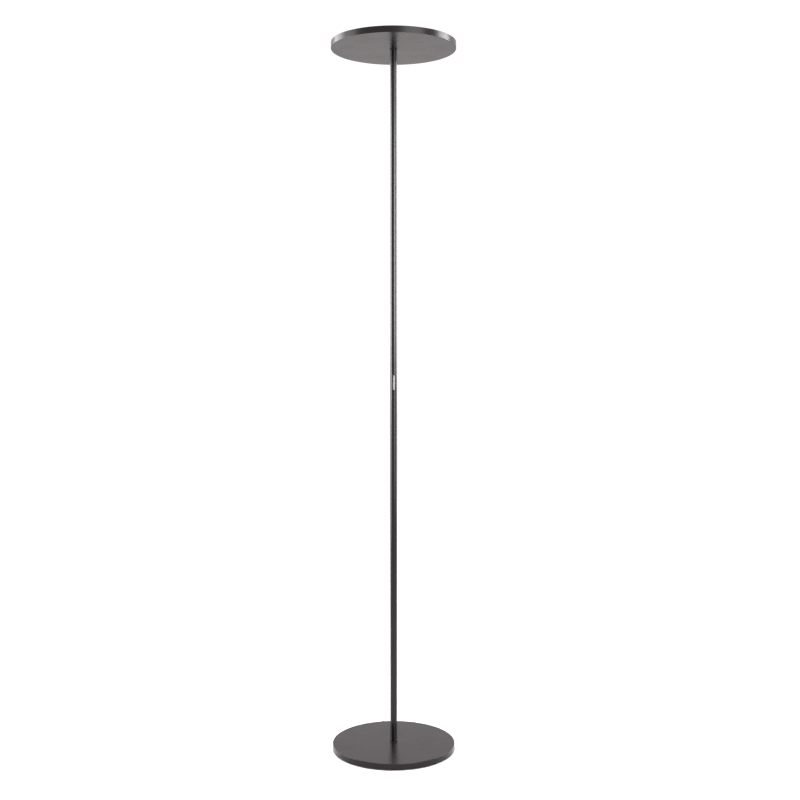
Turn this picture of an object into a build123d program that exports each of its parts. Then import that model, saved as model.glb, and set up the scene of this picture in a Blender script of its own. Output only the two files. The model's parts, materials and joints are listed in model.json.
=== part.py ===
from build123d import *
from math import cos, radians, sin
import os

os.makedirs("parts", exist_ok=True)

# Torchiere floor lamp, in millimetres. The origin is on the floor at the centre of the base, +Z is up,
# and the dimmer key on the pole faces -Y, which is the front.

# ---- driving sizes ----
TOTAL_H = 1800.0
DISC_D = 315.0
POLE_D = 18.0
POLE_WALL = 1.5
FOOT_H = 2.0
COVER_H = 15.0
HEAD_H = 15.5
SEAM_Z = 771.0
KEY_Z = 947.0

DISC_R = DISC_D / 2
POLE_R = POLE_D / 2
POLE_BORE_R = POLE_R - POLE_WALL

# ---- base heights, from the floor up ----
PLATE_T = 1.5
COVER_T = 1.5
COVER_EDGE_R = 1.0
PLATE_GAP = 0.3
WEIGHT_GAP = 1.5
POCKET_WEB_T = 1.5
PLATE_TOP = FOOT_H + PLATE_T
COVER_TOP = FOOT_H + COVER_H
COVER_INSIDE = COVER_TOP - COVER_T
POCKET_CEILING = COVER_INSIDE - POCKET_WEB_T
PLATE_R = DISC_R - COVER_T - PLATE_GAP
WEIGHT_R = DISC_R - COVER_T - WEIGHT_GAP

# ---- feet and base-plate screws ----
FOOT_COUNT = 6
FOOT_R = 7.5
FOOT_RING_R = 147.0
FOOT_START = -90.0
FOOT_EDGE_R = 0.5
PLATE_SCREW_RING_R = 141.0
PLATE_SCREW_START = -45.0
M3_R = 1.5
M3_SINK_R = 3.0
PLATE_SCREW_L = 9.0
CROSS_L = 4.4
CROSS_W = 0.7
CROSS_DEPTH = 0.8

# ---- slotted pan heads, as shares of the head's radius or height ----
HEAD_ROUNDING = 0.4
HEAD_SLOT_L = 2.2
HEAD_SLOT_W = 0.3
HEAD_SLOT_DEPTH = 0.5

# ---- pole joints: hollow M10 studs in threaded bushes ----
STUD_R = 5.0
STUD_BORE_R = 3.5
STUD_HOLE_R = 5.2
END_CHAMFER = 0.3
BUSH_L = 30.0
BASE_STUD_BOTTOM = 7.0
BASE_STUD_TOP = 40.0
THIN_NUT_T = 3.2
NUT_FLAT_R = 7.0
NUT_TURNED_R = 7.7
WASHER_T = 0.8
WASHER_R = 9.5
STAR_TEETH = 12
STAR_NOTCH_R = 0.9
WEIGHT_SINK_R = 13.0
WEIGHT_SINK_TOP = BASE_STUD_BOTTOM + THIN_NUT_T + WASHER_T
JOINT_STUD_REACH = 24.0
CRIMP_BUSH_L = 50.0
CRIMPS_ABOVE_SEAM = (22.0, 39.0)
CRIMP_DEPTH = 0.25
CRIMP_W = 1.6

# ---- gaskets, and the pole's two ends on them ----
FOOT_GASKET_R = 10.3
FOOT_GASKET_T = 1.0
HEAD_GASKET_R = 10.0
HEAD_GASKET_T = 0.8
HEAD_BOTTOM = TOTAL_H - HEAD_H
POLE_BOTTOM = COVER_TOP + FOOT_GASKET_T
POLE_TOP = HEAD_BOTTOM - HEAD_GASKET_T

# ---- cord gland at the back of the base ----
GLAND_ANGLE = 95.0
GLAND_Z = FOOT_H + COVER_H / 2
GLAND_BORE_R = 3.25
GLAND_NECK_R = 4.5
GLAND_FLANGE_R = 6.2
GLAND_FLANGE_T = 1.5
GLAND_SLEEVE_R = 5.6
GLAND_TIP_R = 4.9
GLAND_REACH = 10.5
GLAND_INSIDE = 7.0
GLAND_NUT_FLAT_R = 5.5
GLAND_NUT_T = 3.0
GLAND_NUT_FACE = -1.65
GLAND_CHANNEL_IN = 118.0
GLAND_CHANNEL_MID = (GLAND_CHANNEL_IN + DISC_R) / 2
GLAND_CHANNEL_W = 15.0

# ---- electrical pieces in the base ----
POCKET_GAP = 1.0
DRIVER_X = 45.0
DRIVER_Y = 35.0
DRIVER_W = 38.0
DRIVER_L = 118.0
DRIVER_BOTTOM = PLATE_TOP + 0.2
DRIVER_EDGE_R = 1.5
EAR_X = 34.0
EAR_W = 14.0
EAR_L = 6.0
EAR_BOTTOM = 6.5
EAR_TOP = 8.0
EAR_SCREW_L = 6.5
TERMINAL_X = -18.0
TERMINAL_Y = 122.0
TERMINAL_L = 28.0
TERMINAL_W = 18.0
TERMINAL_PITCH_X = 14.0
TERMINAL_PITCH_Y = 9.0
TERMINAL_SCREW_R = 1.7
TERMINAL_SCREW_L = 6.0
TERMINAL_CORNER = 1.0
TERMINAL_WELL_R = 2.0
TERMINAL_WELL_H = 2.5
WIRE_R = 1.1
WIRE_Z = 9.0
WIRE_ROUTES = ((125.0, 57.0, 14.0), (119.0, 49.0, 8.0))
WIRE_CHANNEL_W = 18.0
CABLE_R = 1.3
CABLE_Z = 5.0
CABLE_X = 55.0
CABLE_TURN_Y = -42.0
CABLE_OFF_AXIS = 1.5
CABLE_CORNER_R = 8.0
CABLE_SWEEP_R = 20.0
CABLE_UPTURN_R = 7.0
CABLE_SWAY_R = 60.0
CABLE_SWAY_FAR = 42.0
CABLE_SWAY_NEAR = 20.0
CABLE_CHANNEL_W = 6.0
CABLE_CHANNEL_TOP = 8.0

# ---- push-key dimmer in the pole; depths are measured forwards from the pole's axis ----
KEY_L = 38.0
KEY_W = 5.0
KEY_R = POLE_R + 0.8
KEY_GAP = 0.3
BEZEL_L = 48.0
BEZEL_W = 10.0
BEZEL_R = POLE_R + 0.4
NECK_L = 43.4
NECK_W = 7.0
NECK_BACK = 5.9
WINDOW_GAP = 0.2
HOOK_W = 4.0
HOOK_OUT = 1.2
HOOK_FRONT = 7.1
FLANGE_L = 41.4
FLANGE_W = 6.6
FLANGE_FRONT = 5.8
FLANGE_BACK = 4.7
PIP_R = 1.5
PIP_BACK = 3.9
PLUNGER_BACK = 2.5
SWITCH_SIZE = 6.0
SWITCH_CORNER_R = 0.5
SWITCH_FRONT = 3.2
SWITCH_WELL_R = 1.7
SWITCH_WELL_BACK = 1.8
BOARD_FRONT = 1.0
BOARD_T = 1.6
BOARD_W = 12.0
BOARD_L = 72.0
CARRIER_L = 80.0
CARRIER_RELIEF_W = 9.0
CARRIER_RELIEF_L = 36.0
CARRIER_RELIEF_DEPTH = 1.5
CONNECTOR_L = 7.0
CONNECTOR_W = 8.0
CONNECTOR_FRONT = 5.4
CONNECTOR_CORNER = 0.8
CONNECTOR_OFFSET = (BOARD_L - CONNECTOR_L) / 2
CABLE_FRONT = 3.2
BOARD_SCREW_OFFSET = 25.5
M2_R = 1.0
M2_HEAD_R = 1.9
M2_HEAD_H = 1.2
M2_L = 5.0
CHIP_SPOTS = ((0.0, 14.0, 6.0, 5.0, 1.6), (0.0, -13.0, 5.0, 5.0, 1.2), (0.0, -8.0, 6.0, 2.0, 1.0))

# ---- head ----
PAN_T = 1.2
PAN_EDGE_R = 1.0
PAN_LIP_R = 0.4
PAN_FLOOR = HEAD_BOTTOM + PAN_T
PAN_BORE_R = DISC_R - PAN_T
HUB_R = 35.0
HUB_T = 2.5
HUB_TOP = PAN_FLOOR + HUB_T
HEAD_STUD_BOTTOM = POLE_TOP - JOINT_STUD_REACH
HEAD_STUD_TOP = HUB_TOP + WASHER_T + THIN_NUT_T
SPREADER_T = 2.0
SPREADER_R = 150.0
SPREADER_HOLE_R = 37.0
LED_BOARD_T = 1.6
LED_BOARD_R = 142.0
LED_BOARD_HOLE_R = 39.0
LED_BOARD_UNDER = PAN_FLOOR + SPREADER_T
LED_BOARD_FACE = LED_BOARD_UNDER + LED_BOARD_T
LED_SIZE = 3.0
LED_H = 0.7
LED_RINGS = ((64.0, 12), (88.0, 18), (112.0, 24), (134.0, 30))
BOARD_SCREW_RINGS = ((76.0, 30.0), (123.0, 90.0))
M3_HEAD_R = 2.8
M3_HEAD_H = 1.8
PLUG_L = 12.0
PLUG_W = 8.0
PLUG_H = 5.0
PLUG_Y = -48.0
REFLECTOR_T = 1.0
REFLECTOR_FOOT_R = 142.5
REFLECTOR_BEND_R = 147.0
REFLECTOR_LIP_R = 152.0
DIFFUSER_T = 2.0
DIFFUSER_GAP = 0.3
DIFFUSER_R = PAN_BORE_R - DIFFUSER_GAP
RING_T = 1.0
RING_W = 5.5
RING_GAP = 0.1
DIFFUSER_TOP = TOTAL_H - RING_T
DIFFUSER_UNDER = DIFFUSER_TOP - DIFFUSER_T
HEAD_CABLE_GAP = 1.7
HEAD_CABLE_Z = DIFFUSER_UNDER - HEAD_CABLE_GAP
HEAD_CABLE_TURN_R = 5.0
HEAD_CABLE_DROP_Y = -18.0
HEAD_CABLE_LEVEL = 8.0

# The upright plane through the pole's axis that faces the front, centred on the key.
KEY_PLANE = Plane(origin=(0, 0, KEY_Z), x_dir=(1, 0, 0), z_dir=(0, -1, 0))
# The plane that touches the base's side at the cord gland and faces outwards, with its x upwards.
GLAND_DIR = (cos(radians(GLAND_ANGLE)), sin(radians(GLAND_ANGLE)), 0)
GLAND_POINT = (DISC_R * GLAND_DIR[0], DISC_R * GLAND_DIR[1], GLAND_Z)
GLAND_PLANE = Plane(origin=GLAND_POINT, x_dir=(0, 0, 1), z_dir=GLAND_DIR)


def ring_spots(radius, count, start):
    """Points evenly spaced on a circle about the Z axis, the first at the start angle in degrees."""
    turns = [radians(start + 360 * step / count) for step in range(count)]
    return [(radius * cos(turn), radius * sin(turn)) for turn in turns]


def pan_screws(seat, spots, head_r, head_h, shank_r, length):
    """Slotted pan-head screws: the heads stand on the seat plane and the shanks go down through it."""
    with BuildPart() as group:
        with BuildSketch(seat):
            with Locations(*spots):
                Circle(head_r)
        extrude(amount=head_h)
        head_tops = group.faces().sort_by(Axis(seat.origin, seat.z_dir))[-len(spots):]
        fillet(head_tops.edges(), radius=head_h * HEAD_ROUNDING)
        with BuildSketch(seat):
            with Locations(*spots):
                Circle(shank_r)
        extrude(amount=-length)
        with BuildSketch(seat.offset(head_h)):
            with Locations(*spots):
                Rectangle(head_r * HEAD_SLOT_L, head_r * HEAD_SLOT_W)
        extrude(amount=-head_h * HEAD_SLOT_DEPTH, mode=Mode.SUBTRACT)
    return group


def hollow_turning(bottom, top, outer_r, inner_r):
    """A plain tube on the Z axis, with the edges of both ends broken."""
    with BuildPart() as tube:
        with BuildSketch(Plane.XY.offset(bottom)):
            Circle(outer_r)
            Circle(inner_r, mode=Mode.SUBTRACT)
        extrude(amount=top - bottom)
        chamfer(tube.edges().filter_by(GeomType.CIRCLE), length=END_CHAMFER)
    return tube


def flat_ring(bottom, thickness, outer_r, inner_r):
    """A flat ring on the Z axis."""
    with BuildPart() as ring:
        with BuildSketch(Plane.XY.offset(bottom)):
            Circle(outer_r)
            Circle(inner_r, mode=Mode.SUBTRACT)
        extrude(amount=thickness)
    return ring


def thin_nut(bottom):
    """A thin M10 hexagon nut on the Z axis, its upper and lower corners turned off."""
    with BuildPart() as nut:
        with BuildSketch(Plane.XY.offset(bottom)):
            RegularPolygon(NUT_FLAT_R, 6, major_radius=False)
            Circle(STUD_R, mode=Mode.SUBTRACT)
        extrude(amount=THIN_NUT_T)
        with BuildSketch(Plane.XY.offset(bottom)):
            Circle(NUT_TURNED_R)
        extrude(amount=THIN_NUT_T, mode=Mode.INTERSECT)
    return nut


def star_washer(bottom):
    """A toothed lock washer on the Z axis."""
    with BuildPart() as washer:
        with BuildSketch(Plane.XY.offset(bottom)):
            Circle(WASHER_R)
            Circle(STUD_HOLE_R, mode=Mode.SUBTRACT)
            with PolarLocations(WASHER_R, STAR_TEETH):
                Circle(STAR_NOTCH_R, mode=Mode.SUBTRACT)
        extrude(amount=WASHER_T)
    return washer


def crimp_sections(surface_r):
    """The outlines on the XZ plane of the crimps rolled into a surface of this radius."""
    with BuildSketch(Plane.XZ) as sections:
        for rise in CRIMPS_ABOVE_SEAM:
            low = (surface_r, SEAM_Z + rise - CRIMP_W / 2)
            high = (surface_r, SEAM_Z + rise + CRIMP_W / 2)
            with BuildLine():
                Line(low, high)
                ThreePointArc(high, (surface_r - CRIMP_DEPTH, SEAM_Z + rise), low)
            make_face()
    return sections.sketch


def lead(points, corner_radii, wire_r):
    """A round lead along straight runs joined by tangent arcs."""
    with BuildPart() as run:
        with BuildLine() as route:
            FilletPolyline(*points, radius=corner_radii)
        with BuildSketch(Plane(origin=route.line @ 0, z_dir=route.line % 0)):
            Circle(wire_r)
        sweep()
    return run


# ================================ base ================================

with BuildPart() as rubber_feet:
    with BuildSketch():
        with Locations(*ring_spots(FOOT_RING_R, FOOT_COUNT, FOOT_START)):
            Circle(FOOT_R)
    extrude(amount=FOOT_H)
    fillet(rubber_feet.edges().group_by(Axis.Z)[0], radius=FOOT_EDGE_R)
rubber_feet.part.label = "rubber_feet"
export_step(rubber_feet.part, "parts/rubber_feet.step")

plate_screw_spots = ring_spots(PLATE_SCREW_RING_R, FOOT_COUNT, PLATE_SCREW_START)

with BuildPart() as base_plate:
    with BuildSketch(Plane.XY.offset(FOOT_H)):
        Circle(PLATE_R)
    extrude(amount=PLATE_T)
    with Locations(*[Plane(origin=(x, y, FOOT_H), z_dir=(0, 0, -1)) for x, y in plate_screw_spots]):
        CounterSinkHole(radius=M3_R, counter_sink_radius=M3_SINK_R, counter_sink_angle=90)
base_plate.part.label = "base_plate"
export_step(base_plate.part, "parts/base_plate.step")

with BuildPart() as base_plate_screws:
    with BuildSketch(Plane.XY.offset(FOOT_H)):
        with Locations(*plate_screw_spots):
            Circle(M3_SINK_R)
    extrude(amount=M3_SINK_R - M3_R, taper=45)
    with BuildSketch(Plane.XY.offset(FOOT_H)):
        with Locations(*plate_screw_spots):
            Circle(M3_R)
    extrude(amount=PLATE_SCREW_L)
    with BuildSketch(Plane.XY.offset(FOOT_H)):
        with Locations(*plate_screw_spots):
            Rectangle(CROSS_L, CROSS_W)
            Rectangle(CROSS_W, CROSS_L)
    extrude(amount=CROSS_DEPTH, mode=Mode.SUBTRACT)
base_plate_screws.part.label = "base_plate_screws"
export_step(base_plate_screws.part, "parts/base_plate_screws.step")

with BuildPart() as base_cover:
    with BuildSketch(Plane.XY.offset(FOOT_H)):
        Circle(DISC_R)
    extrude(amount=COVER_H)
    fillet(base_cover.edges().group_by(Axis.Z)[-1], radius=COVER_EDGE_R)
    with BuildSketch(Plane.XY.offset(FOOT_H)):
        Circle(DISC_R - COVER_T)
    extrude(amount=COVER_H - COVER_T, mode=Mode.SUBTRACT)
    with BuildSketch(Plane.XY.offset(COVER_TOP)):
        Circle(STUD_HOLE_R)
    extrude(amount=-COVER_T, mode=Mode.SUBTRACT)
    with BuildSketch(GLAND_PLANE):
        Circle(GLAND_NECK_R)
    extrude(amount=-GLAND_INSIDE, mode=Mode.SUBTRACT)
base_cover.part.label = "base_cover"
export_step(base_cover.part, "parts/base_cover.step")

wire_corner_y = (WIRE_ROUTES[0][0] + WIRE_ROUTES[1][0]) / 2
wire_corner_x = (WIRE_ROUTES[0][1] + WIRE_ROUTES[1][1]) / 2
ear_spots = [
    (EAR_X, DRIVER_Y + DRIVER_L / 2 + EAR_L / 2),
    (EAR_X, DRIVER_Y - DRIVER_L / 2 - EAR_L / 2),
]

# The weight's pockets are open below, under a web of iron. Only the gland's channel goes right through.
with BuildPart() as base_weight:
    with BuildSketch(Plane.XY.offset(PLATE_TOP)):
        Circle(WEIGHT_R)
        Circle(STUD_HOLE_R, mode=Mode.SUBTRACT)
    extrude(amount=COVER_INSIDE - PLATE_TOP)
    with BuildSketch(Plane.XY.offset(PLATE_TOP)):
        Circle(WEIGHT_SINK_R)
    extrude(amount=WEIGHT_SINK_TOP - PLATE_TOP, mode=Mode.SUBTRACT)
    with BuildSketch(Plane.XY.offset(PLATE_TOP)):
        with Locations((DRIVER_X, DRIVER_Y)):
            Rectangle(DRIVER_W + 2 * POCKET_GAP, DRIVER_L + 2 * POCKET_GAP)
        with Locations((TERMINAL_X, TERMINAL_Y)):
            Rectangle(TERMINAL_L + 2 * POCKET_GAP, TERMINAL_W + 2 * POCKET_GAP)
        with Locations(((TERMINAL_X + wire_corner_x) / 2, wire_corner_y)):
            Rectangle(wire_corner_x - TERMINAL_X + WIRE_CHANNEL_W, WIRE_CHANNEL_W)
        with Locations((wire_corner_x, wire_corner_y - WIRE_CHANNEL_W / 2)):
            Rectangle(WIRE_CHANNEL_W, 2 * WIRE_CHANNEL_W)
    extrude(amount=POCKET_CEILING - PLATE_TOP, mode=Mode.SUBTRACT)
    with BuildSketch(Plane.XY.offset(PLATE_TOP)):
        with Locations(*ear_spots):
            Rectangle(EAR_W + 2 * POCKET_GAP, EAR_L + 2 * POCKET_GAP)
        with BuildLine():
            FilletPolyline(
                (CABLE_X, DRIVER_Y - DRIVER_L / 2),
                (CABLE_X, CABLE_TURN_Y),
                (0, CABLE_TURN_Y),
                (0, 0),
                radius=[CABLE_CORNER_R, CABLE_SWEEP_R],
            )
        trace(line_width=CABLE_CHANNEL_W)
    extrude(amount=CABLE_CHANNEL_TOP - PLATE_TOP, mode=Mode.SUBTRACT)
    with BuildSketch(Plane.XY.offset(PLATE_TOP)):
        with Locations((GLAND_CHANNEL_MID * GLAND_DIR[0], GLAND_CHANNEL_MID * GLAND_DIR[1])):
            Rectangle(DISC_R - GLAND_CHANNEL_IN, GLAND_CHANNEL_W, rotation=GLAND_ANGLE)
    extrude(amount=COVER_INSIDE - PLATE_TOP, mode=Mode.SUBTRACT)
    with BuildSketch(Plane.XY.offset(PLATE_TOP)):
        with Locations(*plate_screw_spots):
            Circle(M3_R)
    extrude(amount=PLATE_SCREW_L, mode=Mode.SUBTRACT)
    with BuildSketch(Plane.XY.offset(PLATE_TOP)):
        with Locations(*ear_spots):
            Circle(M3_R)
    extrude(amount=EAR_BOTTOM + EAR_SCREW_L - PLATE_TOP, mode=Mode.SUBTRACT)
base_weight.part.label = "base_weight"
export_step(base_weight.part, "parts/base_weight.step")

with BuildPart() as cord_gland:
    with BuildSketch(GLAND_PLANE):
        Circle(GLAND_FLANGE_R)
    extrude(amount=GLAND_FLANGE_T)
    with BuildSketch(GLAND_PLANE):
        Circle(GLAND_NECK_R)
    extrude(amount=-GLAND_INSIDE)
    with BuildSketch(GLAND_PLANE.offset(GLAND_FLANGE_T)):
        Circle(GLAND_SLEEVE_R)
    with BuildSketch(GLAND_PLANE.offset(GLAND_REACH)):
        Circle(GLAND_TIP_R)
    loft()
    with BuildSketch(GLAND_PLANE.offset(-GLAND_INSIDE)):
        Circle(GLAND_BORE_R)
    extrude(amount=GLAND_INSIDE + GLAND_REACH, mode=Mode.SUBTRACT)
cord_gland.part.label = "cord_gland"
export_step(cord_gland.part, "parts/cord_gland.step")

with BuildPart() as gland_nut:
    with BuildSketch(GLAND_PLANE.offset(GLAND_NUT_FACE)):
        RegularPolygon(GLAND_NUT_FLAT_R, 6, major_radius=False, rotation=30)
        Circle(GLAND_NECK_R, mode=Mode.SUBTRACT)
    extrude(amount=-GLAND_NUT_T)
gland_nut.part.label = "gland_nut"
export_step(gland_nut.part, "parts/gland_nut.step")

terminal_spots = [
    (TERMINAL_X + side * TERMINAL_PITCH_X / 2, TERMINAL_Y + end * TERMINAL_PITCH_Y / 2)
    for side in (-1, 1)
    for end in (-1, 1)
]
TERMINAL_SEAT = Plane(origin=(0, 0, DRIVER_BOTTOM + TERMINAL_WELL_H), x_dir=(1, 0, 0), z_dir=(0, 0, -1))
terminal_spots_below = [(x, -y) for x, y in terminal_spots]

with BuildPart() as terminal_block:
    with BuildSketch(Plane.XY.offset(DRIVER_BOTTOM)):
        with Locations((TERMINAL_X, TERMINAL_Y)):
            Rectangle(TERMINAL_L, TERMINAL_W)
    extrude(amount=POCKET_CEILING - DRIVER_BOTTOM)
    chamfer(terminal_block.edges().filter_by(Axis.Z), length=TERMINAL_CORNER)
    with BuildSketch(Plane.XY.offset(DRIVER_BOTTOM)):
        with Locations(*terminal_spots):
            Circle(TERMINAL_WELL_R)
    extrude(amount=TERMINAL_WELL_H, mode=Mode.SUBTRACT)
    with BuildSketch(Plane.XY.offset(DRIVER_BOTTOM)):
        with Locations(*terminal_spots):
            Circle(M2_R)
    extrude(amount=TERMINAL_WELL_H + TERMINAL_SCREW_L, mode=Mode.SUBTRACT)
terminal_block.part.label = "terminal_block"
export_step(terminal_block.part, "parts/terminal_block.step")

terminal_screws = pan_screws(
    TERMINAL_SEAT, terminal_spots_below, TERMINAL_SCREW_R, M2_HEAD_H, M2_R, TERMINAL_SCREW_L
)
terminal_screws.part.label = "terminal_screws"
export_step(terminal_screws.part, "parts/terminal_screws.step")

with BuildPart() as led_driver:
    with BuildSketch(Plane.XY.offset(DRIVER_BOTTOM)):
        with Locations((DRIVER_X, DRIVER_Y)):
            RectangleRounded(DRIVER_W, DRIVER_L, DRIVER_EDGE_R)
    extrude(amount=POCKET_CEILING - DRIVER_BOTTOM)
    with BuildSketch(Plane.XY.offset(EAR_BOTTOM)):
        with Locations(*ear_spots):
            Rectangle(EAR_W, EAR_L)
    extrude(amount=EAR_TOP - EAR_BOTTOM)
    with BuildSketch(Plane.XY.offset(EAR_BOTTOM)):
        with Locations(*ear_spots):
            Circle(M3_R)
    extrude(amount=EAR_TOP - EAR_BOTTOM, mode=Mode.SUBTRACT)
led_driver.part.label = "led_driver"
export_step(led_driver.part, "parts/led_driver.step")

EAR_SEAT = Plane(origin=(0, 0, EAR_BOTTOM), x_dir=(1, 0, 0), z_dir=(0, 0, -1))
driver_screws = pan_screws(EAR_SEAT, [(x, -y) for x, y in ear_spots], M3_HEAD_R, M3_HEAD_H, M3_R, EAR_SCREW_L)
driver_screws.part.label = "driver_screws"
export_step(driver_screws.part, "parts/driver_screws.step")

terminal_side = TERMINAL_X + TERMINAL_L / 2
driver_end = DRIVER_Y + DRIVER_L / 2
with BuildPart() as mains_wires:
    for lane_y, lane_x, corner_r in WIRE_ROUTES:
        with BuildLine() as lane:
            FilletPolyline(
                (terminal_side, lane_y, WIRE_Z),
                (lane_x, lane_y, WIRE_Z),
                (lane_x, driver_end, WIRE_Z),
                radius=corner_r,
            )
        with BuildSketch(Plane(origin=lane.line @ 0, z_dir=lane.line % 0)):
            Circle(WIRE_R)
        sweep()
mains_wires.part.label = "mains_wires"
export_step(mains_wires.part, "parts/mains_wires.step")

base_stud = hollow_turning(BASE_STUD_BOTTOM, BASE_STUD_TOP, STUD_R, STUD_BORE_R)
base_stud.part.label = "base_stud"
export_step(base_stud.part, "parts/base_stud.step")

base_nut = thin_nut(BASE_STUD_BOTTOM)
base_nut.part.label = "base_nut"
export_step(base_nut.part, "parts/base_nut.step")

base_washer = star_washer(WEIGHT_SINK_TOP - WASHER_T)
base_washer.part.label = "base_washer"
export_step(base_washer.part, "parts/base_washer.step")

foot_gasket = flat_ring(COVER_TOP, FOOT_GASKET_T, FOOT_GASKET_R, STUD_HOLE_R)
foot_gasket.part.label = "foot_gasket"
export_step(foot_gasket.part, "parts/foot_gasket.step")

# ================================ pole ================================

lower_pole = hollow_turning(POLE_BOTTOM, SEAM_Z, POLE_R, POLE_BORE_R)
lower_pole.part.label = "lower_pole"
export_step(lower_pole.part, "parts/lower_pole.step")

foot_bush = hollow_turning(POLE_BOTTOM, POLE_BOTTOM + BUSH_L, POLE_BORE_R, STUD_R)
foot_bush.part.label = "foot_bush"
export_step(foot_bush.part, "parts/foot_bush.step")

lower_joint_bush = hollow_turning(SEAM_Z - BUSH_L, SEAM_Z, POLE_BORE_R, STUD_R)
lower_joint_bush.part.label = "lower_joint_bush"
export_step(lower_joint_bush.part, "parts/lower_joint_bush.step")

joint_stud = hollow_turning(SEAM_Z - JOINT_STUD_REACH, SEAM_Z + JOINT_STUD_REACH, STUD_R, STUD_BORE_R)
joint_stud.part.label = "joint_stud"
export_step(joint_stud.part, "parts/joint_stud.step")

# Two rolled crimps press the upper tube into round grooves in the bush below them.
tube_crimps = crimp_sections(POLE_R)
bush_grooves = crimp_sections(POLE_BORE_R)

with BuildPart() as upper_joint_bush:
    with BuildSketch(Plane.XY.offset(SEAM_Z)):
        Circle(POLE_BORE_R)
        Circle(STUD_R, mode=Mode.SUBTRACT)
    extrude(amount=CRIMP_BUSH_L)
    revolve(bush_grooves, axis=Axis.Z, mode=Mode.SUBTRACT)
upper_joint_bush.part.label = "upper_joint_bush"
export_step(upper_joint_bush.part, "parts/upper_joint_bush.step")

with BuildPart() as upper_pole:
    with BuildSketch(Plane.XY.offset(SEAM_Z)):
        Circle(POLE_R)
        Circle(POLE_BORE_R, mode=Mode.SUBTRACT)
    extrude(amount=POLE_TOP - SEAM_Z)
    chamfer(upper_pole.edges().filter_by(GeomType.CIRCLE), length=END_CHAMFER)
    revolve(tube_crimps, axis=Axis.Z, mode=Mode.SUBTRACT)
    revolve(bush_grooves, axis=Axis.Z)
    with BuildSketch(KEY_PLANE):
        SlotOverall(NECK_L + 2 * WINDOW_GAP, NECK_W + 2 * WINDOW_GAP, rotation=90)
    extrude(amount=POLE_D, mode=Mode.SUBTRACT)
upper_pole.part.label = "upper_pole"
export_step(upper_pole.part, "parts/upper_pole.step")

head_bush = hollow_turning(POLE_TOP - BUSH_L, POLE_TOP, POLE_BORE_R, STUD_R)
head_bush.part.label = "head_bush"
export_step(head_bush.part, "parts/head_bush.step")

# ================================ push-key dimmer ================================

with BuildPart() as key_bezel:
    with BuildSketch(KEY_PLANE):
        SlotOverall(BEZEL_L, BEZEL_W, rotation=90)
    extrude(amount=POLE_D)
    with BuildSketch(Plane.XY.offset(KEY_Z - BEZEL_L)):
        Circle(POLE_R)
    extrude(amount=2 * BEZEL_L, mode=Mode.SUBTRACT)
    with BuildSketch(KEY_PLANE.offset(NECK_BACK)):
        SlotOverall(NECK_L, NECK_W, rotation=90)
    extrude(amount=POLE_R - NECK_BACK)
    with BuildSketch(Plane.XY.offset(KEY_Z - BEZEL_L)):
        Circle(BEZEL_R)
    extrude(amount=2 * BEZEL_L, mode=Mode.INTERSECT)
    with BuildSketch(KEY_PLANE.offset(NECK_BACK)):
        with Locations((0, NECK_L / 2 + WINDOW_GAP), (0, -NECK_L / 2 - WINDOW_GAP)):
            Rectangle(HOOK_W, 2 * HOOK_OUT)
    extrude(amount=HOOK_FRONT - NECK_BACK)
    with BuildSketch(KEY_PLANE):
        SlotOverall(KEY_L + 2 * KEY_GAP, KEY_W + 2 * KEY_GAP, rotation=90)
    extrude(amount=POLE_D, mode=Mode.SUBTRACT)
key_bezel.part.label = "key_bezel"
export_step(key_bezel.part, "parts/key_bezel.step")

with BuildPart() as dimmer_key:
    with BuildSketch(KEY_PLANE.offset(FLANGE_BACK)):
        SlotOverall(KEY_L, KEY_W, rotation=90)
    extrude(amount=POLE_D)
    with BuildSketch(Plane.XY.offset(KEY_Z - KEY_L)):
        Circle(KEY_R)
    extrude(amount=2 * KEY_L, mode=Mode.INTERSECT)
    with BuildSketch(KEY_PLANE.offset(FLANGE_BACK)):
        SlotOverall(FLANGE_L, FLANGE_W, rotation=90)
    extrude(amount=FLANGE_FRONT - FLANGE_BACK)
    with BuildSketch(KEY_PLANE.offset(PIP_BACK)):
        Circle(PIP_R)
    extrude(amount=FLANGE_BACK - PIP_BACK)
dimmer_key.part.label = "dimmer_key"
export_step(dimmer_key.part, "parts/dimmer_key.step")

with BuildPart() as switch_plunger:
    with BuildSketch(KEY_PLANE.offset(PLUNGER_BACK)):
        Circle(PIP_R)
    extrude(amount=PIP_BACK - PLUNGER_BACK)
switch_plunger.part.label = "switch_plunger"
export_step(switch_plunger.part, "parts/switch_plunger.step")

with BuildPart() as tact_switch:
    with BuildSketch(KEY_PLANE.offset(BOARD_FRONT)):
        RectangleRounded(SWITCH_SIZE, SWITCH_SIZE, SWITCH_CORNER_R)
    extrude(amount=SWITCH_FRONT - BOARD_FRONT)
    with BuildSketch(KEY_PLANE.offset(SWITCH_FRONT)):
        Circle(SWITCH_WELL_R)
    extrude(amount=-(SWITCH_FRONT - SWITCH_WELL_BACK), mode=Mode.SUBTRACT)
tact_switch.part.label = "tact_switch"
export_step(tact_switch.part, "parts/tact_switch.step")

board_screw_spots = [(0, BOARD_SCREW_OFFSET), (0, -BOARD_SCREW_OFFSET)]

with BuildPart() as dimmer_board:
    with BuildSketch(KEY_PLANE.offset(BOARD_FRONT)):
        Rectangle(BOARD_W, BOARD_L)
        with Locations(*board_screw_spots):
            Circle(M2_R, mode=Mode.SUBTRACT)
    extrude(amount=-BOARD_T)
dimmer_board.part.label = "dimmer_board"
export_step(dimmer_board.part, "parts/dimmer_board.step")

with BuildPart() as dimmer_chips:
    for chip_x, chip_z, chip_w, chip_l, chip_t in CHIP_SPOTS:
        with BuildSketch(KEY_PLANE.offset(BOARD_FRONT)):
            with Locations((chip_x, chip_z)):
                Rectangle(chip_w, chip_l)
        extrude(amount=chip_t)
dimmer_chips.part.label = "dimmer_chips"
export_step(dimmer_chips.part, "parts/dimmer_chips.step")

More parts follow.
